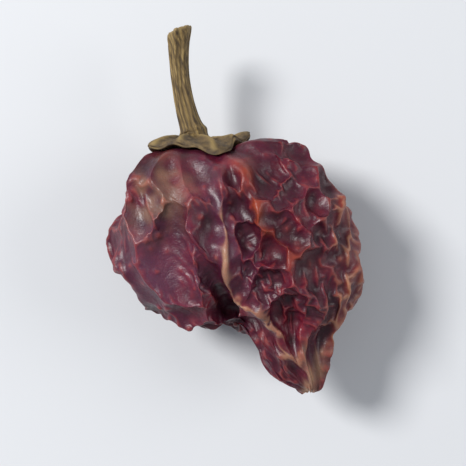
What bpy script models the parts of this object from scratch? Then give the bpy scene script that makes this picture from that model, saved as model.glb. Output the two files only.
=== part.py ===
# A dried scorpion pepper: one wrinkled, lobed pod with a short pointed tail, lying on its side, and
# the dry calyx and stem at its other end. Metres, +Z up. The stem points to +Y and the tail to -Y,
# and the origin is on the surface that the pod lies on, under the middle of the whole length.
import math

import bmesh
import bpy
import numpy as np
from mathutils import Vector, noise
from mathutils.bvhtree import BVHTree

MM = 0.001

# Lobes that the pod is swollen into, each an ellipsoid by its centre and half sizes in mm, counted
# from the middle of the pod. They make it about 29 mm wide, 33 mm long and 19 mm thick.
LOBES = {
    "left": ((-5.6, 1.9, 0.4), (7.1, 7.6, 7.2)),
    "right": ((5.4, 1.4, 0.6), (8.1, 11.9, 7.9)),
    "middle": ((-3.4, 5.4, 1.4), (9.7, 11.2, 7.2)),
    "under": ((0.6, 2.2, -3.6), (9.6, 11.8, 5.8)),
    "tail": ((2.2, -6.6, 0.0), (4.5, 8.8, 4.3)),
}
LOBE_BLEND = 14.0  # power of the soft maximum that joins the lobes: higher leaves sharper valleys
STEM_DIMPLE = 0.17  # share of the pod's reach that the dimple at the stem takes
STEM_DIMPLE_ANGLE = math.radians(22.0)
TAIL_POINT = 3.2 * MM
TAIL_POINT_ANGLE = math.radians(10.0)
TAIL_DIRECTION = Vector((0.13, -1.0, 0.02)).normalized()

# Folds on the upper face. Each line is the points (x, y) in mm that it runs through, seen from above.
LIP_LINE = ((-4.9, 8.2), (-4.3, 4.6), (-2.5, 1.2), (-2.2, -2.6), (-0.9, -5.4), (0.9, -9.2), (1.9, -13.0))
LIP_HEIGHT = 1.25 * MM  # the right lobe stands this much over the line, and the left lies as much under
LIP_STEP = 0.45 * MM
LIP_WIDTH = 2.6 * MM
LIP_OVERHANG = Vector((-0.9, -0.35, 0.0)) * MM
GROOVE_LINE = ((-2.6, 14.0), (-4.0, 11.0), (-6.6, 4.2), (-8.4, -1.6))
STREAK_LINE = ((3.4, 11.5), (3.9, 7.5), (3.6, 3.5), (4.6, 0.2), (6.6, -2.8))
EDGE_LINE = ((13.2, 2.4), (12.0, -2.4), (10.2, -6.8), (6.4, -11.6))
# Height over the skin, width, and the height in the pod where the fold has faded out, in mm.
SIMPLE_FOLDS = {
    GROOVE_LINE: (-1.2, 1.3, -1.0),
    STREAK_LINE: (1.0, 0.9, -1.0),
    EDGE_LINE: (0.9, 1.0, -4.0),
}
FOLD_RISE = 5.0 * MM  # height over which a fold grows from nothing
FOLD_FADE = 0.18  # share of a fold's line over which it fades at each end

# Shrinkage of the dry skin: dents with sharp rims, then creases, then crinkles.
DENT_SIZE = 8.0 * MM
DENT_DEPTH = 2.1 * MM
DENT_RIM = 0.17  # width of a rim, as a share of the dent
CREASE_SIZE = 4.4 * MM
CREASE_DEPTH = 1.15 * MM
CRINKLE_SIZE = 2.6 * MM
CRINKLE_DEPTH = 0.5 * MM
CREST_WIDTH = 0.13  # width of a crease's crest, in the noise's own units
CREST_BALANCE = 0.5  # share of the relief that stands over the smooth skin
WARP = 0.6  # how far the lines wander, as a share of the pattern's size
WARP_OFFSETS = (Vector((17.0, 0.0, 5.0)), Vector((0.0, 31.0, 9.0)), Vector((7.0, 3.0, 43.0)))

# Towards the stem and the tail the creases are drawn out lengthwise.
DRAWN_FROM = 6.0 * MM
DRAWN_TO = 13.0 * MM
DRAWN_SHARE = 0.55
DRAWN_RADIUS = 8.0 * MM
DRAWN_LEAST = 3.0 * MM

# The skin is tight under the calyx, at the tail's point and where it lies, and calm on the left lobe.
TIGHT_ANGLE = 0.25
LOOSE_ANGLE = 0.60
TAIL_TIGHT = 0.5
REST_TIGHT = 0.65
REST_TIGHT_TO = 1.7 * MM  # height over the lowest skin
CALM_CENTRE = (-9.5 * MM, 3.0 * MM)
CALM_SIZE = (5.0 * MM, 7.5 * MM)
CALM_SHARE = 0.55

REST_CUT = 0.8 * MM  # height of the lowest skin that is pressed flat where the pod lies
POD_SEGMENTS = 100
POD_RINGS = 54
MOST_SMOOTHINGS = 20

# Half outline of the calyx and stem in mm: distance from the stem's axis, and height over the pod's skin.
CALYX_OUTLINE = (
    (0.0, 0.0),
    (2.6, 0.0),
    (4.9, 0.0),
    (5.3, 0.35),
    (4.9, 0.75),
    (3.2, 0.95),
    (2.0, 1.35),
    (1.5, 2.0),
    (1.6, 2.6),
    (1.25, 3.3),
    (1.1, 6.0),
    (1.05, 9.0),
    (1.2, 12.0),
    (1.4, 13.6),
    (1.15, 14.0),
    (0.0, 13.8),
)
CALYX_STEPS = 3  # rings from one point of the outline to the next
CALYX_SEGMENTS = 36
CALYX_GAP = 0.35 * MM
CALYX_TOP = 0.9 * MM  # height over the skin at which the calyx's upper face is
CALYX_RIDGE = 0.16 * MM
CALYX_TEETH = 5
TOOTH_LENGTH = 1.0 * MM
TOOTH_SWAY = 0.4
STEM_START = 1.5 * MM  # over this height the calyx leaves the skin's shape
STEM_FOOT = 3.0 * MM
STEM_BEND = Vector((2.6, 0.0, 1.4)) * MM
STEM_RIBS = 6
STEM_RIB_SHARE = 0.10
STEM_TWIST = 90.0  # radians a metre

POD_COLOUR = (0.118, 0.018, 0.014, 1.0)
POD_ROUGHNESS = 0.42
STEM_COLOUR = (0.190, 0.118, 0.052, 1.0)
STEM_ROUGHNESS = 0.75


def clear_scene():
    for item in list(bpy.data.objects):
        bpy.data.objects.remove(item, do_unlink=True)


def new_collection(name):
    collection = bpy.data.collections.new(name)
    bpy.context.scene.collection.children.link(collection)
    return collection


def new_material(name, colour, roughness):
    material = bpy.data.materials.new(name)
    material.use_nodes = True
    shader = material.node_tree.nodes["Principled BSDF"]
    shader.inputs["Base Color"].default_value = colour
    shader.inputs["Roughness"].default_value = roughness
    shader.inputs["Metallic"].default_value = 0.0
    return material


def new_object(name, bm, collection, material):
    mesh = bpy.data.meshes.new(name)
    bm.to_mesh(mesh)
    bm.free()
    mesh.materials.append(material)
    mesh.shade_smooth()
    collection.objects.link(bpy.data.objects.new(name, mesh))


def positions(bm):
    return np.array([vert.co for vert in bm.verts])


def set_positions(bm, points):
    for vert, point in zip(bm.verts, points):
        vert.co = point


def outward(bm):
    # The skin's outward direction at each vertex, summed over the triangles in their order, so that
    # it comes out the same each time.
    points = positions(bm)
    corners = np.array([[vert.index for vert in face.verts] for face in bm.faces])
    sides = points[corners[:, 1:]] - points[corners[:, :1]]
    across = np.cross(sides[:, 0], sides[:, 1])
    total = np.zeros_like(points)
    for corner in range(3):
        np.add.at(total, corners[:, corner], across)
    return total / np.linalg.norm(total, axis=1)[:, None]


def smooth_step(low, high, value):
    share = np.clip((value - low) / (high - low), 0.0, 1.0)
    return share * share * (3.0 - 2.0 * share)


def angle_from(directions, axis):
    return np.arccos(np.clip(directions @ np.array(axis), -1.0, 1.0))


# Form of the pod


def sphere_to_tail():
    # A unit sphere with one pole at the tail's point, so that its rings close there.
    bm = bmesh.new()
    bmesh.ops.create_uvsphere(bm, u_segments=POD_SEGMENTS, v_segments=POD_RINGS, radius=1.0)
    turn = Vector((0.0, 0.0, -1.0)).rotation_difference(TAIL_DIRECTION)
    bmesh.ops.rotate(bm, verts=bm.verts, matrix=turn.to_matrix())
    bmesh.ops.triangulate(bm, faces=bm.faces)
    bm.verts.index_update()
    return bm


def lobe_reach(directions, centre, half):
    # How far each direction goes from the middle of the pod to the skin of one lobe.
    centre = np.array(centre) * MM
    half = np.array(half) * MM
    square = ((directions / half) ** 2).sum(axis=1)
    cross = (directions * centre / half**2).sum(axis=1)
    inside = ((centre / half) ** 2).sum() - 1.0
    return (cross + np.sqrt(cross**2 - square * inside)) / square


def pod_reach(directions):
    # The soft maximum of the lobes, with the dimple at the stem and the point of the tail.
    reaches = [lobe_reach(directions, centre, half) for centre, half in LOBES.values()]
    reach = sum(value**LOBE_BLEND for value in reaches) ** (1.0 / LOBE_BLEND)
    from_stem = angle_from(directions, (0.0, 1.0, 0.0))
    from_tail = angle_from(directions, TAIL_DIRECTION)
    reach *= 1.0 - STEM_DIMPLE * np.exp(-((from_stem / STEM_DIMPLE_ANGLE) ** 2))
    return reach + TAIL_POINT * np.exp(-from_tail / TAIL_POINT_ANGLE)


# Folds


def line_distance(points, line):
    # Distance in plan from a fold's line, positive on its +X side, and the share of the line passed.
    line = np.array(line) * MM
    nearest = np.full(len(points), np.inf)
    signed = np.zeros(len(points))
    along = np.zeros(len(points))
    for i, (start, end) in enumerate(zip(line[:-1], line[1:])):
        step = end - start
        share = np.clip(((points[:, :2] - start) @ step) / (step @ step), 0.0, 1.0)
        away = points[:, :2] - (start + share[:, None] * step)
        distance = np.hypot(away[:, 0], away[:, 1])
        side = np.where(step[0] * away[:, 1] > step[1] * away[:, 0], 1.0, -1.0)
        nearer = distance < nearest
        nearest = np.where(nearer, distance, nearest)
        signed = np.where(nearer, distance * side, signed)
        along = np.where(nearer, (i + share) / (len(line) - 1), along)
    return signed, along


def fold_amount(points, along, foot):
    # A fold grows with height over its foot, and fades at both ends of its line.
    ends = smooth_step(0.0, FOLD_FADE, along) * smooth_step(0.0, FOLD_FADE, 1.0 - along)
    return ends * smooth_step(foot, foot + FOLD_RISE, points[:, 2])


def with_folds(bm):
    points = positions(bm)
    away, along = line_distance(points, LIP_LINE)
    amount = fold_amount(points, along, -1.0 * MM)
    height = LIP_HEIGHT * amount * np.tanh(away / LIP_STEP) * np.exp(-np.abs(away) / LIP_WIDTH)
    crest = amount * np.exp(-(((away - LIP_STEP) / (2.5 * LIP_STEP)) ** 2))
    for line, (rise, width, foot) in SIMPLE_FOLDS.items():
        away, along = line_distance(points, line)
        amount = fold_amount(points, along, foot * MM)
        height += rise * MM * amount * np.exp(-np.abs(away) / (width * MM))
    return points + outward(bm) * height[:, None] + crest[:, None] * np.array(LIP_OVERHANG)


# Shrinkage


def warped(point, size, seed):
    # The point in units of the pattern's size, pushed about so that its lines wander.
    place = point / size + Vector((seed, 0.37 * seed, -0.61 * seed))
    push = Vector([noise.noise(0.8 * place + offset) for offset in WARP_OFFSETS])
    return place + WARP * push


def dent_rims(place):
    # 1 on the sharp rims between neighbouring dents, and 0 in the dents.
    near = noise.voronoi(place)[0]
    return math.exp(-(near[1] - near[0]) / DENT_RIM)


def creases(place):
    # 1 on the crests of winding creases.
    return math.exp(-abs(noise.noise(place)) / CREST_WIDTH)


def drawn_out(point):
    # The pattern's place for a point: near the ends it is wider around the axis and slower along it.
    x, y, z = point
    end = float(smooth_step(DRAWN_FROM, DRAWN_TO, abs(y)))
    around = max(math.hypot(x, z), DRAWN_LEAST)
    spread = 1.0 + end * (DRAWN_RADIUS / around - 1.0)
    return Vector((x * spread, y * (1.0 - DRAWN_SHARE * end), z * spread))


def shrunken(bm, pattern, size, depth, seed, looseness):
    # Moves the skin in everywhere but on the pattern's crests.
    points = positions(bm)
    crest = np.array([pattern(warped(drawn_out(point), size, seed)) for point in points])
    height = depth * looseness * (crest - 1.0 + CREST_BALANCE)
    set_positions(bm, points + outward(bm) * height[:, None])


def skin_looseness(directions, points):
    from_stem = angle_from(directions, (0.0, 1.0, 0.0))
    from_tail = angle_from(directions, TAIL_DIRECTION)
    loose = smooth_step(TIGHT_ANGLE, LOOSE_ANGLE, from_stem)
    loose *= 1.0 - TAIL_TIGHT * (1.0 - smooth_step(0.0, TIGHT_ANGLE, from_tail))
    height = points[:, 2] - points[:, 2].min()
    loose *= 1.0 - REST_TIGHT * (1.0 - smooth_step(0.0, REST_TIGHT_TO, height))
    aside = (points[:, 0] - CALM_CENTRE[0]) / CALM_SIZE[0]
    ahead = (points[:, 1] - CALM_CENTRE[1]) / CALM_SIZE[1]
    calm = CALM_SHARE * np.exp(-(aside**2) - ahead**2) * smooth_step(0.0, 3.0 * MM, points[:, 2])
    return loose, loose * (1.0 - calm)


def smooth_crossings(bm):
    # Eases out the skin where two folds have been pushed into each other.
    for _ in range(MOST_SMOOTHINGS):
        bm.faces.ensure_lookup_table()
        tree = BVHTree.FromBMesh(bm)
        pairs = [(bm.faces[a], bm.faces[b]) for a, b in tree.overlap(tree) if a < b]
        crossing = [pair for pair in pairs if not set(pair[0].verts) & set(pair[1].verts)]
        if not crossing:
            break
        verts = {vert for pair in crossing for face in pair for vert in face.verts}
        bmesh.ops.smooth_vert(
            bm,
            verts=sorted(verts, key=lambda vert: vert.index),
            factor=0.5,
            use_axis_x=True,
            use_axis_y=True,
            use_axis_z=True,
        )


def pod_skin():
    bm = sphere_to_tail()
    directions = positions(bm)
    directions /= np.linalg.norm(directions, axis=1)[:, None]
    set_positions(bm, directions * pod_reach(directions)[:, None])
    loose, crinkly = skin_looseness(directions, positions(bm))
    shrunken(bm, dent_rims, DENT_SIZE, DENT_DEPTH, 3.0, loose)
    set_positions(bm, with_folds(bm))
    shrunken(bm, creases, CREASE_SIZE, CREASE_DEPTH, 11.0, crinkly)
    shrunken(bm, creases, CRINKLE_SIZE, CRINKLE_DEPTH, 23.0, crinkly)
    return bm


# Calyx and stem


def smooth_outline(outline, steps):
    # A curve through the outline's points, with more points between them.
    points = [Vector((radius * MM, height * MM)) for radius, height in outline]
    points = [2.0 * points[0] - points[1], *points, 2.0 * points[-1] - points[-2]]
    curve = []
    for before, start, end, after in zip(points, points[1:], points[2:], points[3:]):
        for step in range(steps):
            t = step / steps
            bend = 2.0 * before - 5.0 * start + 4.0 * end - after
            turn = 3.0 * start - before - 3.0 * end + after
            curve.append(start + 0.5 * (t * (end - before) + t**2 * bend + t**3 * turn))
    return [*curve, points[-2]]


def turned(curve, segments):
    # The outline turned about the Y axis into one closed skin.
    bm = bmesh.new()
    verts = [bm.verts.new((max(radius, 0.0), height, 0.0)) for radius, height in curve]
    edges = [bm.edges.new(pair) for pair in zip(verts, verts[1:])]
    bmesh.ops.spin(
        bm, geom=[*verts, *edges], axis=(0.0, 1.0, 0.0), angle=math.tau, steps=segments, use_merge=True
    )
    bmesh.ops.remove_doubles(bm, verts=bm.verts, dist=1e-6)
    bmesh.ops.recalc_face_normals(bm, faces=bm.faces)
    bmesh.ops.triangulate(bm, faces=bm.faces)
    return bm


def skin_height(tree, x, z):
    # How far up the Y axis the pod's skin is, beside the stem's axis.
    return tree.ray_cast(Vector((x, 0.1, z)), Vector((0.0, -1.0, 0.0)))[0].y


def calyx_and_stem(pod):
    # The calyx lies on the pod's shoulder with its rim drawn out into blunt teeth, and the stem
    # leans away from it, ribbed lengthwise, to a snapped end.
    tree = BVHTree.FromBMesh(pod)
    bm = turned(smooth_outline(CALYX_OUTLINE, CALYX_STEPS), CALYX_SEGMENTS)
    rim = max(radius for radius, _ in CALYX_OUTLINE) * MM
    top = max(height for _, height in CALYX_OUTLINE) * MM
    foot = skin_height(tree, 0.0, 0.0)
    for vert in bm.verts:
        x, height, z = vert.co
        radius = math.hypot(x, z)
        turn = math.atan2(z, x)
        free = float(smooth_step(STEM_START, STEM_FOOT, height))
        tooth = (0.5 + 0.5 * math.cos(CALYX_TEETH * turn + TOOTH_SWAY * math.sin(2.0 * turn))) ** 2
        radius += (1.0 - free) * TOOTH_LENGTH * (radius / rim) ** 3 * (tooth - 0.25)
        radius *= 1.0 + STEM_RIB_SHARE * free * math.cos(STEM_RIBS * turn + STEM_TWIST * height)
        x, z = radius * math.cos(turn), radius * math.sin(turn)
        skin = skin_height(tree, x, z) * (1.0 - free) + foot * free
        above = float(smooth_step(0.0, CALYX_TOP, height)) * (1.0 - free)
        ridge = CALYX_RIDGE * above * math.cos(2 * CALYX_TEETH * turn)
        bend = max(0.0, (height - STEM_FOOT) / (top - STEM_FOOT)) ** 2
        vert.co = Vector((x, skin + CALYX_GAP + height + ridge, z)) + STEM_BEND * bend
    return bm


# Placing


def press_flat(pod):
    # Presses the lowest skin flat, so that the pod lies still.
    points = positions(pod)
    points[:, 2] = np.maximum(points[:, 2], points[:, 2].min() + REST_CUT)
    set_positions(pod, points)


def rest_on_origin(pieces):
    # Moves the pieces so that the origin is under the middle of them all, on the surface they lie on.
    points = np.concatenate([positions(bm) for bm in pieces])
    low, high = points.min(axis=0), points.max(axis=0)
    middle = Vector((0.5 * (low[0] + high[0]), 0.5 * (low[1] + high[1]), low[2]))
    for bm in pieces:
        bmesh.ops.translate(bm, verts=bm.verts, vec=-middle)


def main():
    clear_scene()
    pod = pod_skin()
    smooth_crossings(pod)
    press_flat(pod)
    calyx_stem = calyx_and_stem(pod)
    rest_on_origin((pod, calyx_stem))
    parts = new_collection("dried_scorpion_pepper")
    new_object("pod", pod, parts, new_material("dried_pod_skin", POD_COLOUR, POD_ROUGHNESS))
    new_object("calyx_stem", calyx_stem, parts, new_material("dry_stem", STEM_COLOUR, STEM_ROUGHNESS))


main()
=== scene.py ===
import math

import bmesh
import bpy
import numpy as np
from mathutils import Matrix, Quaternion, Vector, noise
from mathutils.bvhtree import BVHTree


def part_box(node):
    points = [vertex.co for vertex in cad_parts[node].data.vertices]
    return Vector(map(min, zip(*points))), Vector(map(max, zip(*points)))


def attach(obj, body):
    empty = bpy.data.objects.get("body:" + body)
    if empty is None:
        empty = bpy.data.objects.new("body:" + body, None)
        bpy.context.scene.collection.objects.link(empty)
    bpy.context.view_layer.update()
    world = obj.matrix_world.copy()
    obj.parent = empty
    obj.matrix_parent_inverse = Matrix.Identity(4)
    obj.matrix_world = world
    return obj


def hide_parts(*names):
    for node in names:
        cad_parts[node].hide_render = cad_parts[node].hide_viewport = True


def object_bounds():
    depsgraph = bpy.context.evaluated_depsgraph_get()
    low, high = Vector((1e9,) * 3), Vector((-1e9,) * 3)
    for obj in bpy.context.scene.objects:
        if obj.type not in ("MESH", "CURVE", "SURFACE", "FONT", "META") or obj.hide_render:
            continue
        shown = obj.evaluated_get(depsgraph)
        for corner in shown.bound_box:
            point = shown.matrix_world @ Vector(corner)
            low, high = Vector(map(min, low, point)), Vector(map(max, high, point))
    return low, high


# Looks of a dried scorpion pepper that lies on its side, seen from straight above.
# All places are in metres in the frame's own axes: the stem points to +Y and the tail to -Y.

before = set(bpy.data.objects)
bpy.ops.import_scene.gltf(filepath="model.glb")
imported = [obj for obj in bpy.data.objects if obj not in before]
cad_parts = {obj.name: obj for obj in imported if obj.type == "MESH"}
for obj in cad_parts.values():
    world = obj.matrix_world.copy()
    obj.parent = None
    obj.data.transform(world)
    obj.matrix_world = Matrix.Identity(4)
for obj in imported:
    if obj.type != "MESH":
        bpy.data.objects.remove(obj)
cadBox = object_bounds()
mm = 0.001
print("frame loaded")


# Small tools

def linearColour(hexCode):
    # shaders take linear values, so an sRGB hex code is turned to them
    channels = [int(hexCode[i : i + 2], 16) / 255.0 for i in (1, 3, 5)]
    linear = [c / 12.92 if c <= 0.04045 else ((c + 0.055) / 1.055) ** 2.4 for c in channels]
    return (*linear, 1.0)


def easedStep(low, high, value):
    share = np.clip((value - low) / (high - low), 0.0, 1.0)
    return share * share * (3.0 - 2.0 * share)


def readPoints(mesh):
    flat = np.empty(3 * len(mesh.vertices))
    mesh.vertices.foreach_get("co", flat)
    return flat.reshape(-1, 3)


def writePoints(mesh, points):
    mesh.vertices.foreach_set("co", points.astype(np.float32).ravel())
    mesh.update()


def writeAttribute(mesh, name, values):
    attribute = mesh.attributes.new(name, "FLOAT", "POINT")
    attribute.data.foreach_set("value", values.astype(np.float32))


# each use reads a part of the noise of its own, this far from its origin
noiseParts = {
    "folds": 3.0,
    "crinkles": 4.0,
    "papery": 7.0,
    "ribs": 9.0,
    "splinters": 12.0,
    "uneven": 21.0,
    "strayX": 31.0,
    "strayY": 32.0,
    "mottle": 41.0,
}


def noiseAt(points, size, part):
    # smooth noise from about -1 to 1, whose lumps are of the given size
    away = noiseParts[part]
    shift = Vector((away, -0.7 * away, 1.3 * away))
    return np.array([noise.noise(Vector(p) / size + shift) for p in points])


# Skin as a net of vertices

def mergedCopy(nodeName, pieceName):
    # the node's own shape, its loose triangles merged and paired into four-sided faces
    bm = bmesh.new()
    bm.from_mesh(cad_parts[nodeName].data)
    bmesh.ops.remove_doubles(bm, verts=bm.verts, dist=0.001 * mm)
    bmesh.ops.join_triangles(
        bm, faces=bm.faces, angle_face_threshold=math.pi, angle_shape_threshold=math.pi
    )
    mesh = bpy.data.meshes.new(pieceName)
    bm.to_mesh(mesh)
    bm.free()
    for leftover in ("custom_normal", "sharp_edge", "sharp_face"):
        if leftover in mesh.attributes:
            mesh.attributes.remove(mesh.attributes[leftover])
    piece = bpy.data.objects.new(pieceName, mesh)
    bpy.context.scene.collection.objects.link(piece)
    return piece


def makeFiner(piece):
    # one smooth subdivision, applied, after which all faces have four sides
    finer = piece.modifiers.new("finer", "SUBSURF")
    finer.levels = finer.render_levels = 1
    mesh = bpy.data.meshes.new_from_object(
        piece.evaluated_get(bpy.context.evaluated_depsgraph_get())
    )
    piece.modifiers.clear()
    piece.data = mesh


def skinNet(mesh):
    # edges and four-sided faces of the skin as arrays of vertex numbers
    edges = np.empty(2 * len(mesh.edges), np.int32)
    mesh.edges.foreach_get("vertices", edges)
    corners = np.empty(len(mesh.loops), np.int32)
    mesh.loops.foreach_get("vertex_index", corners)
    return {"edges": edges.reshape(-1, 2), "faces": corners.reshape(-1, 4)}


def summed(places, values, count):
    return np.stack([np.bincount(places, values[:, axis], count) for axis in range(3)], axis=1)


def outward(points, net):
    # direction that each vertex looks to, from the diagonals of the faces around it
    faces = net["faces"]
    across = np.cross(
        points[faces[:, 2]] - points[faces[:, 0]], points[faces[:, 3]] - points[faces[:, 1]]
    )
    total = sum(summed(faces[:, corner], across, len(points)) for corner in range(4))
    return total / np.linalg.norm(total, axis=1)[:, None]


def unevenness(values, net):
    # how far each vertex is from the mean of its neighbours
    a, b = net["edges"].T
    count = len(values)
    neighbours = np.bincount(net["edges"].ravel(), minlength=count)
    total = summed(a, values[b], count) + summed(b, values[a], count)
    return total / neighbours[:, None] - values


def smoothed(points, net, rounds, share=0.5):
    # each round brings each vertex nearer to the mean of its neighbours by the share
    for _ in range(rounds):
        points = points + share * unevenness(points, net)
    return points


def relief(points, net, rounds):
    # height of the skin over its own smoothed shape, and the direction of that height
    smooth = smoothed(points, net, rounds)
    normals = outward(smooth, net)
    return ((points - smooth) * normals).sum(axis=1), normals


def blunted(points, net, rounds, limit):
    # skin that dries over a sharp rim rounds it off, so no place stands out much more than the limit
    height, normals = relief(points, net, rounds)
    lower = np.minimum(limit * np.tanh(height / limit) - height, 0.0)
    return points + normals * lower[:, None]


def crossing(points, net):
    # 1 at the corners of faces that cut through other faces of the same skin
    faces = net["faces"]
    tree = BVHTree.FromPolygons(points.tolist(), faces.tolist())
    pairs = np.array(tree.overlap(tree), dtype=int).reshape(-1, 2)
    one, other = faces[pairs[:, 0]], faces[pairs[:, 1]]
    apart = (one[:, :, None] != other[:, None, :]).all(axis=(1, 2))
    crossed = np.zeros(len(points))
    crossed[one[apart]] = 1.0
    return crossed


def untangled(points, net, rounds, smoothings):
    # folds that were pressed through each other are eased apart where they cross
    a, b = net["edges"].T
    for _ in range(rounds):
        crossed = crossing(points, net)
        eased = crossed.copy()
        np.maximum.at(eased, a, crossed[b])
        np.maximum.at(eased, b, crossed[a])
        points = smoothed(points, net, smoothings, 0.5 * eased[:, None])
    return points


# Skin that has stayed too large for the flesh that shrank under it

skinSprings = {
    "slide": 0.02,  # hold of the flesh on the skin along the surface
    "keep": 0.88,  # share of its speed that the skin keeps from one step to the next
    "push": 0.22,  # share of the force that is added to it
}


def buckled(points, net, growth, give, start, values, floor=None):
    # The skin is a net of springs that are longer than their places by growth, a share for each
    # vertex. It bends against its own stiffness and a bed of flesh that gives more outward than
    # inward, so it folds into narrow crests between wider hollows, as drying skin does.
    springs = np.concatenate([net["edges"], net["faces"][:, [0, 2]], net["faces"][:, [1, 3]]])
    a, b = springs.T
    count = len(points)
    apart = points[b] - points[a]
    rest = np.linalg.norm(apart, axis=1)
    # a pod shrinks more around than along, so more of its folds run lengthwise
    lengthwise = (apart[:, 1] / rest) ** 2
    spare = 0.5 * (growth[a] + growth[b]) * (1.0 + values["grain"] * (1.0 - 2.0 * lengthwise))
    rest *= 1.0 + spare
    share = (2.0 / np.bincount(springs.ravel(), minlength=count))[:, None]
    normals = outward(points, net)
    now = points + normals * start[:, None]
    speed = np.zeros_like(points)
    for _ in range(values["steps"]):
        pull = now[b] - now[a]
        length = np.linalg.norm(pull, axis=1)
        pull *= (1.0 - rest / length)[:, None]
        force = (summed(a, pull, count) - summed(b, pull, count)) * share
        moved = now - points
        force -= values["stiffness"] * unevenness(unevenness(moved, net), net)
        lift = (moved * normals).sum(axis=1)
        bed = np.where(lift > 0.0, values["outward"], values["inward"]) * give
        force -= normals * (bed * lift)[:, None]
        force -= skinSprings["slide"] * (moved - normals * lift[:, None])
        speed = skinSprings["keep"] * speed + skinSprings["push"] * force
        now = now + speed
        if floor is not None:
            now[:, 2] = np.maximum(now[:, 2], floor)
    return now


# Pod

podSkin = {
    # first the folds a few millimetres apart
    "folds": {
        "growth": 0.15,  # how much too large the skin is, as a share
        "grain": 0.5,  # how much more of it around the pod, and less along it
        "stiffness": 0.30,
        "inward": 0.045,  # hold of the flesh against hollows, and against crests
        "outward": 0.014,
        "steps": 150,
        "start": 0.06 * mm,  # height of the unevenness that the folds grow from, and its size
        "startSize": 0.9 * mm,
        "soften": (3, 0.45),  # rounds and share by which the crests are rounded off afterwards
        "untangle": (4, 6),  # rounds, and smoothings in each, that ease crossing folds apart
    },
    # then the fine ones between them
    "crinkles": {
        "growth": 0.18,
        "grain": 0.3,
        "stiffness": 0.25,
        "inward": 0.05,
        "outward": 0.020,
        "steps": 160,
        "start": 0.02 * mm,
        "startSize": 0.4 * mm,
        "soften": (2, 0.35),
        "untangle": (5, 6),
    },
    "uneven": 0.9,  # how much the wrinkling differs from place to place, over the size below
    "unevenSize": 5.0 * mm,
    # rounds and height of the blunting of the frame's sharp rims, and of the finished crests
    "bluntRims": (14, 0.30 * mm),
    "bluntCrests": (8, 0.16 * mm),
    # the small blisters that this kind of pepper is known for
    "blisters": {
        "spacing": 1.5 * mm,
        "radius": 0.40 * mm,
        "height": 0.32 * mm,
        "missing": 0.35,  # share of the places that have none
    },
    "inset": 0.30 * mm,  # depth of the shrunken flesh under the frame's pod
    # under the cap the skin is smooth and held down: so near to the stem's line, and so far along it
    "bareUnderCap": (6.5 * mm, 9.5 * mm),
    "capBegins": (3.0 * mm, 6.0 * mm),
    "capHold": 30.0,
    "tightTip": (0.8 * mm, 3.0 * mm),  # no wrinkles nearer to the tail's end
    "tailToMiddle": 17.6 * mm,  # from the tail's end to the pod's middle
    # lines seen from above, in mm from the pod's middle
    "lines": {
        "lip": (
            (0.2, 5.6),
            (-1.4, 3.1),
            (-2.0, -0.4),
            (-1.5, -4.1),
            (0.7, -8.0),
            (1.8, -10.3),
            (2.6, -13.0),
        ),
        "streak": ((3.9, 9.8), (3.9, 7.5), (3.6, 3.5), (4.6, 0.2), (6.6, -2.8)),
        "crease": ((-1.1, 5.2), (-2.6, 2.7), (-3.1, -0.6), (-2.6, -4.6), (-0.5, -8.6)),
        "edge": ((12.9, 2.4), (11.9, -2.6), (10.6, -7.6), (6.8, -11.6)),
        "tip": ((4.4, -12.4), (3.4, -15.0), (2.4, -17.2)),
    },
    "stray": 1.1 * mm,  # how far these lines wander, over the size below
    "straySize": 3.0 * mm,
    "lineFade": (7.0 * mm, 9.5 * mm),  # heights between which the lines fade out downward
    "patchFade": (8.0 * mm, 11.0 * mm),  # the same for patches
    # share of the wrinkles that is missing along the lines, over the width below
    "calmLines": {"lip": 0.6, "streak": 0.6, "edge": 0.5, "tip": 0.5},
    "calmLineWidth": 1.3 * mm,
    # middle from the pod's middle, and half sizes, in mm, and share of the wrinkles that is missing
    "calmPatches": (
        ((-8.6, 3.0), (4.6, 6.5), 0.72),
        ((-0.5, 3.5), (2.2, 6.5), 0.60),
    ),
    # the same, with the share of the broad left lobe's hollows that is filled
    "fullPatch": ((-9.0, 2.5), (6.0, 8.0), 0.75),
    "fillRounds": 150,  # smoothing of the shape that they are filled to, and of the filled patch
    "filledRounds": 20,
    # height of the lip that folds over the left side, and depth of the crease beside it
    "lipHeight": 0.6 * mm,
    "lipWidth": 0.7 * mm,
    "creaseDepth": 0.7 * mm,
    "creaseWidth": 0.8 * mm,
    # where its colour is warm or pale
    "paint": {
        # rounds of smoothing, and height, that crinkles and folds are measured by
        "crinkles": (6, 0.05 * mm),
        "folds": (80, 0.45 * mm),
        # from and to where on them a place counts as a crest of both, and as a ridge of the tail
        "onCrinkle": (0.35, 0.9),
        "onFold": (0.35, 0.7),
        "onRidge": (0.3, 0.6),
        "mottleSize": 1.5 * mm,
        "mottleRange": (-0.5, 0.5),
        "lineWidths": {"streak": 1.4 * mm, "edge": 1.4 * mm, "tip": 1.0 * mm, "lip": 0.8 * mm},
        "edgeFade": (3.0 * mm, 5.0 * mm),  # the right edge is coloured further down the side
        # the right edge's warm colour, and the pale colour on the crests of the lip and the edge, are
        # painted highlights
        "paintedWarmEdgeHighlight": 0.9,
        "paleTip": 0.8,
        "paintedLipHighlight": 0.7,
        "paintedEdgeHighlight": 0.55,
        "evenWarm": 0.45,  # share of the warm and of the pale colour that isn't mottled
        "evenPale": 0.55,
        "tanPatch": ((-6.3, 9.9), (4.0, 3.4), 0.38),
    },
}


def stemLine(overCap=6.0 * mm, underEnd=1.5 * mm, reach=0.8 * mm, count=6):
    # middle of the stem along its length, from slices of the frame's own node
    points = readPoints(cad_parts["calyx_stem"].data)
    low, high = points[:, 1].min(), points[:, 1].max()
    places = np.linspace(low + overCap, high - underEnd, count)
    middles = []
    for y in places:
        ring = points[np.abs(points[:, 1] - y) < reach][:, [0, 2]]
        middles.append(0.5 * (ring.min(axis=0) + ring.max(axis=0)))
    return places, np.array(middles)


def tailTip():
    points = readPoints(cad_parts["pod"].data)
    return points[np.argmin(points[:, 1])]


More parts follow.
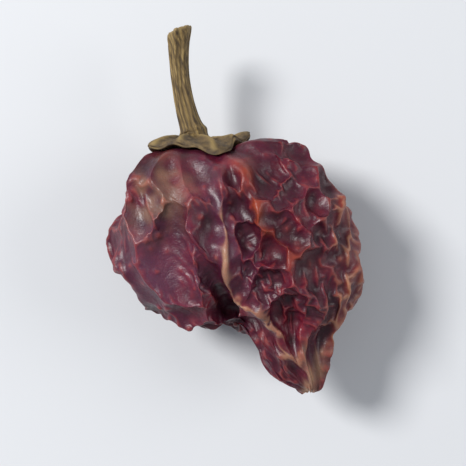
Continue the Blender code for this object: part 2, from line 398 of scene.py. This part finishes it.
stemPlaces, stemMiddles = stemLine()
stemX, stemZ = stemMiddles[0]
podMiddle = np.array([stemX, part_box("pod")[0].y + podSkin["tailToMiddle"]])


def nearLine(points, name, width, fade=podSkin["lineFade"]):
    # 1 on the line, seen from above, fading over the width and below the given heights
    line = podMiddle + np.array(podSkin["lines"][name]) * mm
    nearest = np.full(len(points), np.inf)
    for start, end in zip(line[:-1], line[1:]):
        step = end - start
        share = np.clip(((points[:, :2] - start) @ step) / (step @ step), 0.0, 1.0)
        away = points[:, :2] - (start + share[:, None] * step)
        nearest = np.minimum(nearest, np.hypot(away[:, 0], away[:, 1]))
    return np.exp(-((nearest / width) ** 2)) * easedStep(*fade, points[:, 2])


def inPatch(points, middle, half, share):
    # the share in the patch's middle, seen from above, fading around it and below the upper side
    away = (points[:, :2] - podMiddle - np.array(middle) * mm) / (np.array(half) * mm)
    return share * (np.exp(-(away**2).sum(axis=1)) * easedStep(*podSkin["patchFade"], points[:, 2]))


def strayed(points):
    # places as the marked lines see them, so that the lines wander as grown ones do
    places = points.copy()
    for axis, part in enumerate(("strayX", "strayY")):
        places[:, axis] += podSkin["stray"] * noiseAt(points, podSkin["straySize"], part)
    return places


def looseness(points):
    # share of the full wrinkling that each place on the pod gets, and 1 where the cap covers it
    loose = np.ones(len(points))
    for patch in podSkin["calmPatches"]:
        loose *= 1.0 - inPatch(points, *patch)
    places = strayed(points)
    for name, share in podSkin["calmLines"].items():
        loose *= 1.0 - share * nearLine(places, name, podSkin["calmLineWidth"])
    loose *= 1.0 + podSkin["uneven"] * noiseAt(points, podSkin["unevenSize"], "uneven")
    fromTip = np.linalg.norm(points - tailTip(), axis=1)
    loose *= easedStep(*podSkin["tightTip"], fromTip)
    fromStem = np.hypot(points[:, 0] - stemX, points[:, 2] - stemZ)
    atCap = 1.0 - easedStep(*podSkin["bareUnderCap"], fromStem)
    atCap *= easedStep(*podSkin["capBegins"], points[:, 1])
    return loose * (1.0 - atCap), atCap


def filled(points, net):
    # hollows of the patch rise to the smoothed shape, and bulges stay
    share = inPatch(points, *podSkin["fullPatch"])
    height, normals = relief(points, net, podSkin["fillRounds"])
    points = points + normals * (np.maximum(-height, 0.0) * share)[:, None]
    return smoothed(points, net, podSkin["filledRounds"], 0.5 * share[:, None])


def withLip(points, net):
    places = strayed(points)
    lip = nearLine(places, "lip", podSkin["lipWidth"])
    crease = nearLine(places, "crease", podSkin["creaseWidth"])
    height = podSkin["lipHeight"] * lip - podSkin["creaseDepth"] * crease
    return points + outward(points, net) * height[:, None]


def blistersAt(points):
    # a rounded blister near some of the points of a loose grid, from 0 to 1
    values = podSkin["blisters"]
    scatter = 7.3  # cell noise is the same within a unit, so the grid's points are spread out for it
    heights = np.empty(len(points))
    for i, point in enumerate(points):
        away, places = noise.voronoi(Vector(point) / values["spacing"])
        chance = 0.5 + 0.5 * noise.cell(places[0] * scatter)
        heights[i] = max(chance - values["missing"], 0.0) / (1.0 - values["missing"])
        heights[i] *= math.exp(-((away[0] * values["spacing"] / values["radius"]) ** 2))
    return heights


def onTable(points):
    points[:, 2] = np.maximum(points[:, 2], 0.0)
    return points


def wrinkledPod():
    piece = mergedCopy("pod", "pod_skin")
    for name in (("folds", "crinkles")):
        values = podSkin[name]
        makeFiner(piece)
        net = skinNet(piece.data)
        points = readPoints(piece.data)
        loose, atCap = looseness(points)
        start = values["start"] * noiseAt(points, values["startSize"], name) * (1.0 - atCap)
        if name == "folds":
            points = withLip(blunted(filled(points, net), net, *podSkin["bluntRims"]), net)
            points = points - outward(points, net) * (podSkin["inset"] * (1.0 - atCap))[:, None]
            points = onTable(points)
        give = 1.0 + podSkin["capHold"] * atCap
        points = buckled(points, net, values["growth"] * loose, give, start, values, floor=0.0)
        points = smoothed(points, net, *values["soften"])
        points = untangled(points, net, *values["untangle"])
        if name == "crinkles":
            points = blunted(points, net, *podSkin["bluntCrests"])
            blister = blistersAt(points) * (1.0 - atCap)
            height = podSkin["blisters"]["height"] * blister
            points = points + outward(points, net) * height[:, None]
            writeAttribute(piece.data, "blister", blister)
        points = onTable(points)
        writePoints(piece.data, points)
        print(name, "made,", len(points), "vertices")
    return piece, net, points


def standsOut(points, net, rounds, full):
    # share of the full height that the skin stands out by, from 0 in a hollow to 1 on a crest
    return np.clip(0.5 + 0.5 * relief(points, net, rounds)[0] / full, 0.0, 1.0)


def mottled(share, even, mottle):
    return share * (even + (1.0 - even) * mottle)


def paintPod(piece, net, points):
    paint = podSkin["paint"]
    crest = standsOut(points, net, *paint["crinkles"])
    height = standsOut(points, net, *paint["folds"])
    onCrest = easedStep(*paint["onCrinkle"], crest) * easedStep(*paint["onFold"], height)
    mottle = easedStep(*paint["mottleRange"], noiseAt(points, paint["mottleSize"], "mottle"))
    places = strayed(points)
    widths = paint["lineWidths"]
    streak, tip, lip = (nearLine(places, name, widths[name]) for name in ("streak", "tip", "lip"))
    edge = nearLine(places, "edge", widths["edge"], paint["edgeFade"])
    # the right edge's warm colour is a painted highlight along it
    warm = np.maximum(streak, paint["paintedWarmEdgeHighlight"] * edge)
    pale = paint["paleTip"] * tip * easedStep(*paint["onRidge"], height)
    # painted highlights: pale colour along the crests of the lip and of the right edge
    pale = np.maximum(pale, paint["paintedLipHighlight"] * lip * onCrest)
    pale = np.maximum(pale, paint["paintedEdgeHighlight"] * edge * onCrest)
    pale = mottled(pale, paint["evenPale"], mottle)
    pale = np.maximum(pale, mottle * inPatch(places, *paint["tanPatch"]))
    # painted sheen: a milky reflection painted over the calm, smooth patches
    paintedSheen = np.max([inPatch(points, *patch) for patch in podSkin["calmPatches"]], axis=0)
    writeAttribute(piece.data, "crest", crest)
    writeAttribute(piece.data, "height", height)
    writeAttribute(piece.data, "warm", mottled(warm, paint["evenWarm"], mottle))
    writeAttribute(piece.data, "pale", pale)
    writeAttribute(piece.data, "paintedSheen", paintedSheen)
    piece.data.shade_smooth()


pod, podNet, podPoints = wrinkledPod()
paintPod(pod, podNet, podPoints)
print("pod painted")


# Calyx and stem

capShape = {
    # the cap shrivels into waves, with values as for the pod's folds
    "papery": {
        "growth": 0.16,
        "grain": 0.0,
        "stiffness": 0.25,
        "inward": 0.06,
        "outward": 0.03,
        "steps": 120,
        "start": 0.05 * mm,
        "startSize": 0.8 * mm,
        "untangle": (5, 4),
    },
    "stemRadius": (1.7 * mm, 2.6 * mm),  # the stem ends and the cap begins between these
    "upperFace": (0.1, 0.7),  # veins show where the cap looks this much to +Y
    "veins": 10,
    "veinHeight": 0.16 * mm,
    "veinSharpness": 4,
    "veinWander": 1.5,  # how far veins and furrows wander, over the size below
    "furrowWander": 3.0,
    "wanderSize": 2.5 * mm,
    "furrows": 15,
    "furrowDepth": 0.07 * mm,
    "twist": 90.0,  # radians a metre, as the stem's own ribs turn
    "splinterFrom": 0.5 * mm,  # the snapped end is rough from this far below it
    "splinterFull": 0.1 * mm,  # and fully so from here
    "splinterHeight": 0.16 * mm,
    "splinterSize": 0.30 * mm,
    "pithRadius": 0.45 * mm,
    "pithDepth": 0.35 * mm,
}


def aroundStem(points):
    # distance from the stem's middle line, and the angle around it
    aside = points[:, 0] - np.interp(points[:, 1], stemPlaces, stemMiddles[:, 0])
    over = points[:, 2] - np.interp(points[:, 1], stemPlaces, stemMiddles[:, 1])
    return np.hypot(aside, over), np.arctan2(over, aside)


def wavyCap():
    piece = mergedCopy("calyx_stem", "calyx_and_stem")
    values = capShape["papery"]
    makeFiner(piece)
    net = skinNet(piece.data)
    points = readPoints(piece.data)
    cap = easedStep(*capShape["stemRadius"], aroundStem(points)[0])
    start = values["start"] * noiseAt(points, values["startSize"], "papery") * cap
    points = buckled(points, net, values["growth"] * cap, np.ones(len(points)), start, values)
    writePoints(piece.data, untangled(points, net, *values["untangle"]))
    return piece


def dryCap():
    piece = wavyCap()
    makeFiner(piece)
    net = skinNet(piece.data)
    points = readPoints(piece.data)
    radius, turn = aroundStem(points)
    cap = easedStep(*capShape["stemRadius"], radius)
    normals = outward(points, net)
    wander = noiseAt(points, capShape["wanderSize"], "ribs")
    # veins run out from the stem on the cap's upper face, which looks to +Y
    upper = easedStep(*capShape["upperFace"], normals[:, 1]) * cap
    vein = np.maximum(np.cos(capShape["veins"] * turn + capShape["veinWander"] * wander), 0.0)
    vein **= capShape["veinSharpness"]
    height = capShape["veinHeight"] * vein * upper
    # furrows run along the stem
    swing = capShape["furrows"] * turn + capShape["twist"] * points[:, 1]
    furrow = 0.5 - 0.5 * np.cos(swing + capShape["furrowWander"] * wander)
    height -= capShape["furrowDepth"] * furrow**2 * (1.0 - cap)
    points = points + normals * height[:, None]
    # the end where the stem was snapped off
    end = points[:, 1].max()
    rough = easedStep(end - capShape["splinterFrom"], end - capShape["splinterFull"], points[:, 1])
    splinters = noiseAt(points, capShape["splinterSize"], "splinters")
    points[:, 1] += rough * capShape["splinterHeight"] * splinters
    pith = np.exp(-((radius / capShape["pithRadius"]) ** 2))
    points[:, 1] -= rough * pith * capShape["pithDepth"]
    points[:, 1] = np.minimum(points[:, 1], cadBox[1].y)
    writePoints(piece.data, points)
    writeAttribute(piece.data, "end", rough)
    writeAttribute(piece.data, "cap", cap)
    writeAttribute(piece.data, "vein", vein * upper)
    writeAttribute(piece.data, "furrow", furrow * (1.0 - cap))
    piece.data.shade_smooth()
    return piece


cap = dryCap()
print("calyx and stem made")


# Materials

mixFactor, mixUnder, mixOver, mixResult = 0, 6, 7, 2  # sockets of a Mix node that mixes colours
rangeSockets = ("From Min", "From Max", "To Min", "To Max")


def addNode(tree, kind, values=None, links=None, ramp=None, **settings):
    node = tree.nodes.new(kind)
    for name, value in settings.items():
        setattr(node, name, value)
    for socket, value in (values or {}).items():
        node.inputs[socket].default_value = value
    for socket, source in (links or {}).items():
        tree.links.new(source, node.inputs[socket])
    if ramp:
        while len(node.color_ramp.elements) < len(ramp):
            node.color_ramp.elements.new(0.5)
        for element, (place, colour) in zip(node.color_ramp.elements, ramp):
            element.position = place
            element.color = linearColour(colour)
    return node


def newMaterial(name):
    material = bpy.data.materials.new(name)
    material.use_nodes = True
    return material, material.node_tree, material.node_tree.nodes["Principled BSDF"]


chilliSkin = {
    # colours of the flesh from its dark to its light blotches, by place in the blotches' noise
    "flesh": ((0.34, "#350a1a"), (0.50, "#4b0c24"), (0.66, "#70182b")),
    # colours laid over it in turn, each by the share before it
    "layers": (
        ("paintedSheenShare", "#6f3e5b"),  # painted sheen: a milky reflection, painted into the colour, greys the smooth places
        # painted shade: the hollows of the deep folds are darkened in the colour
        ("paintedHollowShade", "#2d0916"),
        ("onCrest", "#8c302f"),
        ("warmth", "#9c4020"),
        ("pale", "#b8906e"),
        ("blistered", "#98423f"),
        ("inSpeck", "#8d7470"),  # specks of pale dried skin
    ),
    # noises by kind, size of the lumps, detail and roughness
    "grains": {
        "blotches": ("FBM", 4.0 * mm, 6.0, 0.62),
        "patches": ("FBM", 7.0 * mm, 3.0, 0.5),
        "specks": ("FBM", 0.55 * mm, 3.0, 0.7),
        "pores": ("FBM", 0.16 * mm, 2.0, 0.5),
        "creases": ("RIDGED_MULTIFRACTAL", 1.1 * mm, 3.0, 0.6),
    },
    # what each is read from, between which two values, and the share or roughness at these
    "ranges": {
        "paintedSheenShare": ("paintedSheen", 0.0, 1.0, 0.0, 0.55),
        # painted shade, darkest at the bottom of the deep folds
        "paintedHollowShade": ("height", 0.05, 0.55, 0.50, 0.0),
        "onCrest": ("crest", 0.60, 1.0, 0.0, 0.48),
        "inPatch": ("patches", 0.56, 0.74, 0.0, 0.5),
        "onFold": ("height", 0.30, 0.85, 0.05, 0.75),
        "blistered": ("blister", 0.0, 1.0, 0.0, 0.42),
        "inSpeck": ("specks", 0.62, 0.80, 0.0, 0.3),
        "gloss": ("specks", 0.3, 0.7, 0.30, 0.52),
    },
    # forms too fine for the mesh, beside the specks: shares of the bump's height
    "fineForms": {"pores": 0.35, "creases": 0.6},
    "bump": {"Strength": 0.8, "Distance": 0.1 * mm},
    "shader": {
        "IOR": 1.45,
        "Subsurface Weight": 0.12,  # light goes through the flesh, red the farthest
        "Subsurface Radius": (1.0, 0.25, 0.12),
        "Subsurface Scale": 0.8 * mm,
        "Coat Weight": 0.10,
        "Coat Roughness": 0.25,
    },
}


# Air-dried chilli: a leathery flesh under a thin waxy skin. The skin gives a soft, broken gloss, and
# the flesh is deep maroon, with painted shade in the hollows, and brick red where light comes through
# the thin crests.
def driedChilliSkin():
    material, tree, shader = newMaterial("dried_chilli_skin")
    place = addNode(tree, "ShaderNodeTexCoord").outputs["Object"]
    read = {}
    for name in ("crest", "height", "warm", "pale", "paintedSheen", "blister"):
        read[name] = addNode(tree, "ShaderNodeAttribute", attribute_name=name).outputs["Fac"]
    for name, (kind, size, detail, roughness) in chilliSkin["grains"].items():
        read[name] = addNode(
            tree,
            "ShaderNodeTexNoise",
            {"Scale": 1.0 / size, "Detail": detail, "Roughness": roughness},
            {"Vector": place},
            noise_type=kind,
        ).outputs["Fac"]
    for name, (source, *limits) in chilliSkin["ranges"].items():
        read[name] = addNode(
            tree,
            "ShaderNodeMapRange",
            dict(zip(rangeSockets, limits)),
            {"Value": read[source]},
        ).outputs["Result"]
    # thin places are warm where light comes through them: the marked ones, and patches of noise
    read["warmth"] = read["warm"]
    for source, operation in (("inPatch", "MAXIMUM"), ("onFold", "MULTIPLY")):
        read["warmth"] = addNode(
            tree,
            "ShaderNodeMath",
            links={0: read["warmth"], 1: read[source]},
            operation=operation,
        ).outputs["Value"]
    colour = addNode(
        tree, "ShaderNodeValToRGB", links={"Fac": read["blotches"]}, ramp=chilliSkin["flesh"]
    ).outputs["Color"]
    for share, over in chilliSkin["layers"]:
        colour = addNode(
            tree,
            "ShaderNodeMix",
            {mixOver: linearColour(over)},
            {mixFactor: read[share], mixUnder: colour},
            data_type="RGBA",
        ).outputs[mixResult]
    height = read["specks"]
    for name, share in chilliSkin["fineForms"].items():
        height = addNode(
            tree,
            "ShaderNodeMath",
            {1: share},
            {0: read[name], 2: height},
            operation="MULTIPLY_ADD",
        ).outputs["Value"]
    bump = addNode(tree, "ShaderNodeBump", chilliSkin["bump"], {"Height": height})
    for socket, value in chilliSkin["shader"].items():
        shader.inputs[socket].default_value = value
    tree.links.new(colour, shader.inputs["Base Color"])
    tree.links.new(read["gloss"], shader.inputs["Roughness"])
    tree.links.new(bump.outputs["Normal"], shader.inputs["Normal"])
    return material


dryStalk = {
    # size, detail and roughness of each part's noise, its colours by place in that, and its lines
    "stem": {
        "noise": (0.35 * mm, 4.0, 0.6),
        "colours": ((0.34, "#3b2c1a"), (0.52, "#7d6538"), (0.70, "#a58c58")),
        "lines": "#3b2c1a",
    },
    "cap": {
        "noise": (0.9 * mm, 5.0, 0.65),
        "colours": ((0.35, "#33261a"), (0.65, "#6f5a38")),
        "lines": "#8d7648",
    },
    "snapped": "#8a744a",
    "fibreStretch": (1.0, 0.12, 1.0),  # the stem's fibres are drawn out eight times along it
    "furrowShare": 0.6,
    "roughness": 0.72,
    "bump": {"Strength": 0.6, "Distance": 0.10 * mm},
}


# Dried pepper stalk: a fibrous, woody skin in furrows along its length, straw to olive brown and dull.
# The cap is the same tissue as a thin leaf that shrivelled: browner, with paler veins.
def driedStalk():
    material, tree, shader = newMaterial("dried_pepper_stalk")
    place = addNode(tree, "ShaderNodeTexCoord").outputs["Object"]
    read = {}
    for name in ("end", "cap", "vein", "furrow"):
        read[name] = addNode(tree, "ShaderNodeAttribute", attribute_name=name).outputs["Fac"]
    along = addNode(
        tree, "ShaderNodeMapping", {"Scale": dryStalk["fibreStretch"]}, {"Vector": place}
    )
    inFurrow = addNode(
        tree,
        "ShaderNodeMath",
        {1: dryStalk["furrowShare"]},
        {0: read["furrow"]},
        operation="MULTIPLY",
    )
    # each part's noise gives its colour, with darker furrows on the stem and paler veins on the cap
    grains, colours = [], []
    for name, vector, onLine in (
        ("stem", along.outputs["Vector"], inFurrow.outputs["Value"]),
        ("cap", place, read["vein"]),
    ):
        size, detail, roughness = dryStalk[name]["noise"]
        grain = addNode(
            tree,
            "ShaderNodeTexNoise",
            {"Scale": 1.0 / size, "Detail": detail, "Roughness": roughness},
            {"Vector": vector},
        ).outputs["Fac"]
        plain = addNode(
            tree, "ShaderNodeValToRGB", links={"Fac": grain}, ramp=dryStalk[name]["colours"]
        )
        lined = addNode(
            tree,
            "ShaderNodeMix",
            {mixOver: linearColour(dryStalk[name]["lines"])},
            {mixFactor: onLine, mixUnder: plain.outputs["Color"]},
            data_type="RGBA",
        )
        grains.append(grain)
        colours.append(lined.outputs[mixResult])
    both = addNode(
        tree,
        "ShaderNodeMix",
        links={mixFactor: read["cap"], mixUnder: colours[0], mixOver: colours[1]},
        data_type="RGBA",
    )
    snapped = addNode(
        tree,
        "ShaderNodeMix",
        {mixOver: linearColour(dryStalk["snapped"])},
        {mixFactor: read["end"], mixUnder: both.outputs[mixResult]},
        data_type="RGBA",
    )
    height = addNode(
        tree, "ShaderNodeMath", links={0: grains[0], 1: grains[1]}, operation="ADD"
    )
    bump = addNode(tree, "ShaderNodeBump", dryStalk["bump"], {"Height": height.outputs["Value"]})
    shader.inputs["Roughness"].default_value = dryStalk["roughness"]
    tree.links.new(snapped.outputs[mixResult], shader.inputs["Base Color"])
    tree.links.new(bump.outputs["Normal"], shader.inputs["Normal"])
    return material


def setMaterial(piece, material):
    piece.data.materials.clear()
    piece.data.materials.append(material)


setMaterial(pod, driedChilliSkin())
setMaterial(cap, driedStalk())
for piece, node, slotName in ((pod, "pod", "pod_skin"), (cap, "calyx_stem", "dry_stem")):
    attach(piece, "root")
    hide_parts(node)
print("materials set")


# Table, light and camera

studio = {
    "middle": Vector((0.6 * mm, -1.5 * mm, 8.0 * mm)),
    "table": "#d6d7d9",
    "tableRoughness": 0.9,
    "tableHalf": 2.0,  # in metres, so that it fills the picture from low down too
    "tableSquares": 8,
    "world": (0.80, 0.86, 0.95),
    "worldStrength": 0.36,
    # direction from the pepper, distance, size and power in watts of each soft light
    "lights": {
        "key": ((-0.50, 0.50, 0.75), 0.55, 0.18, 3.2),
        "fill": ((0.85, -0.15, 0.55), 0.60, 0.35, 1.1),
    },
    "span": 54.0 * mm,  # width of the picture at the pepper
    "lens": 85.0,
    "sensor": 36.0,
    "clip": (0.1, 100.0),  # nearest and farthest that is seen, in distances of the camera
    "elevation": math.radians(88.0),
    "roll": math.radians(-20.0),
}


def layTable():
    bm = bmesh.new()
    squares = studio["tableSquares"]
    bmesh.ops.create_grid(bm, x_segments=squares, y_segments=squares, size=studio["tableHalf"])
    mesh = bpy.data.meshes.new("table")
    bm.to_mesh(mesh)
    bm.free()
    table = bpy.data.objects.new("table", mesh)
    bpy.context.scene.collection.objects.link(table)
    material, _, shader = newMaterial("matt_paper")
    shader.inputs["Base Color"].default_value = linearColour(studio["table"])
    shader.inputs["Roughness"].default_value = studio["tableRoughness"]
    mesh.materials.append(material)


def hangLights():
    for name, (direction, distance, size, power) in studio["lights"].items():
        lamp = bpy.data.lights.new(name, "AREA")
        lamp.shape = "DISK"
        lamp.size = size
        lamp.energy = power
        light = bpy.data.objects.new(name, lamp)
        bpy.context.scene.collection.objects.link(light)
        back = Vector(direction).normalized()
        light.location = studio["middle"] + back * distance
        light.rotation_mode = "QUATERNION"
        light.rotation_quaternion = back.to_track_quat("Z", "Y")
    world = bpy.data.worlds.new("soft_room")
    world.use_nodes = True
    background = world.node_tree.nodes["Background"]
    background.inputs["Color"].default_value = (*studio["world"], 1.0)
    background.inputs["Strength"].default_value = studio["worldStrength"]
    bpy.context.scene.world = world


def setCamera():
    lens = bpy.data.cameras.new("camera")
    lens.lens = studio["lens"]
    lens.sensor_width = studio["sensor"]
    camera = bpy.data.objects.new("camera", lens)
    bpy.context.scene.collection.objects.link(camera)
    tilt = studio["elevation"]
    back = Vector((0.0, -math.cos(tilt), math.sin(tilt)))
    distance = studio["span"] * studio["lens"] / studio["sensor"]
    camera.location = studio["middle"] + back * distance
    camera.rotation_mode = "QUATERNION"
    upright = (-back).to_track_quat("-Z", "Y")
    camera.rotation_quaternion = Quaternion(back, studio["roll"]) @ upright
    lens.clip_start, lens.clip_end = (share * distance for share in studio["clip"])
    bpy.context.scene.camera = camera


layTable()
hangLights()
setCamera()
bpy.context.scene.view_settings.view_transform = "Standard"
print("table, light and camera set")
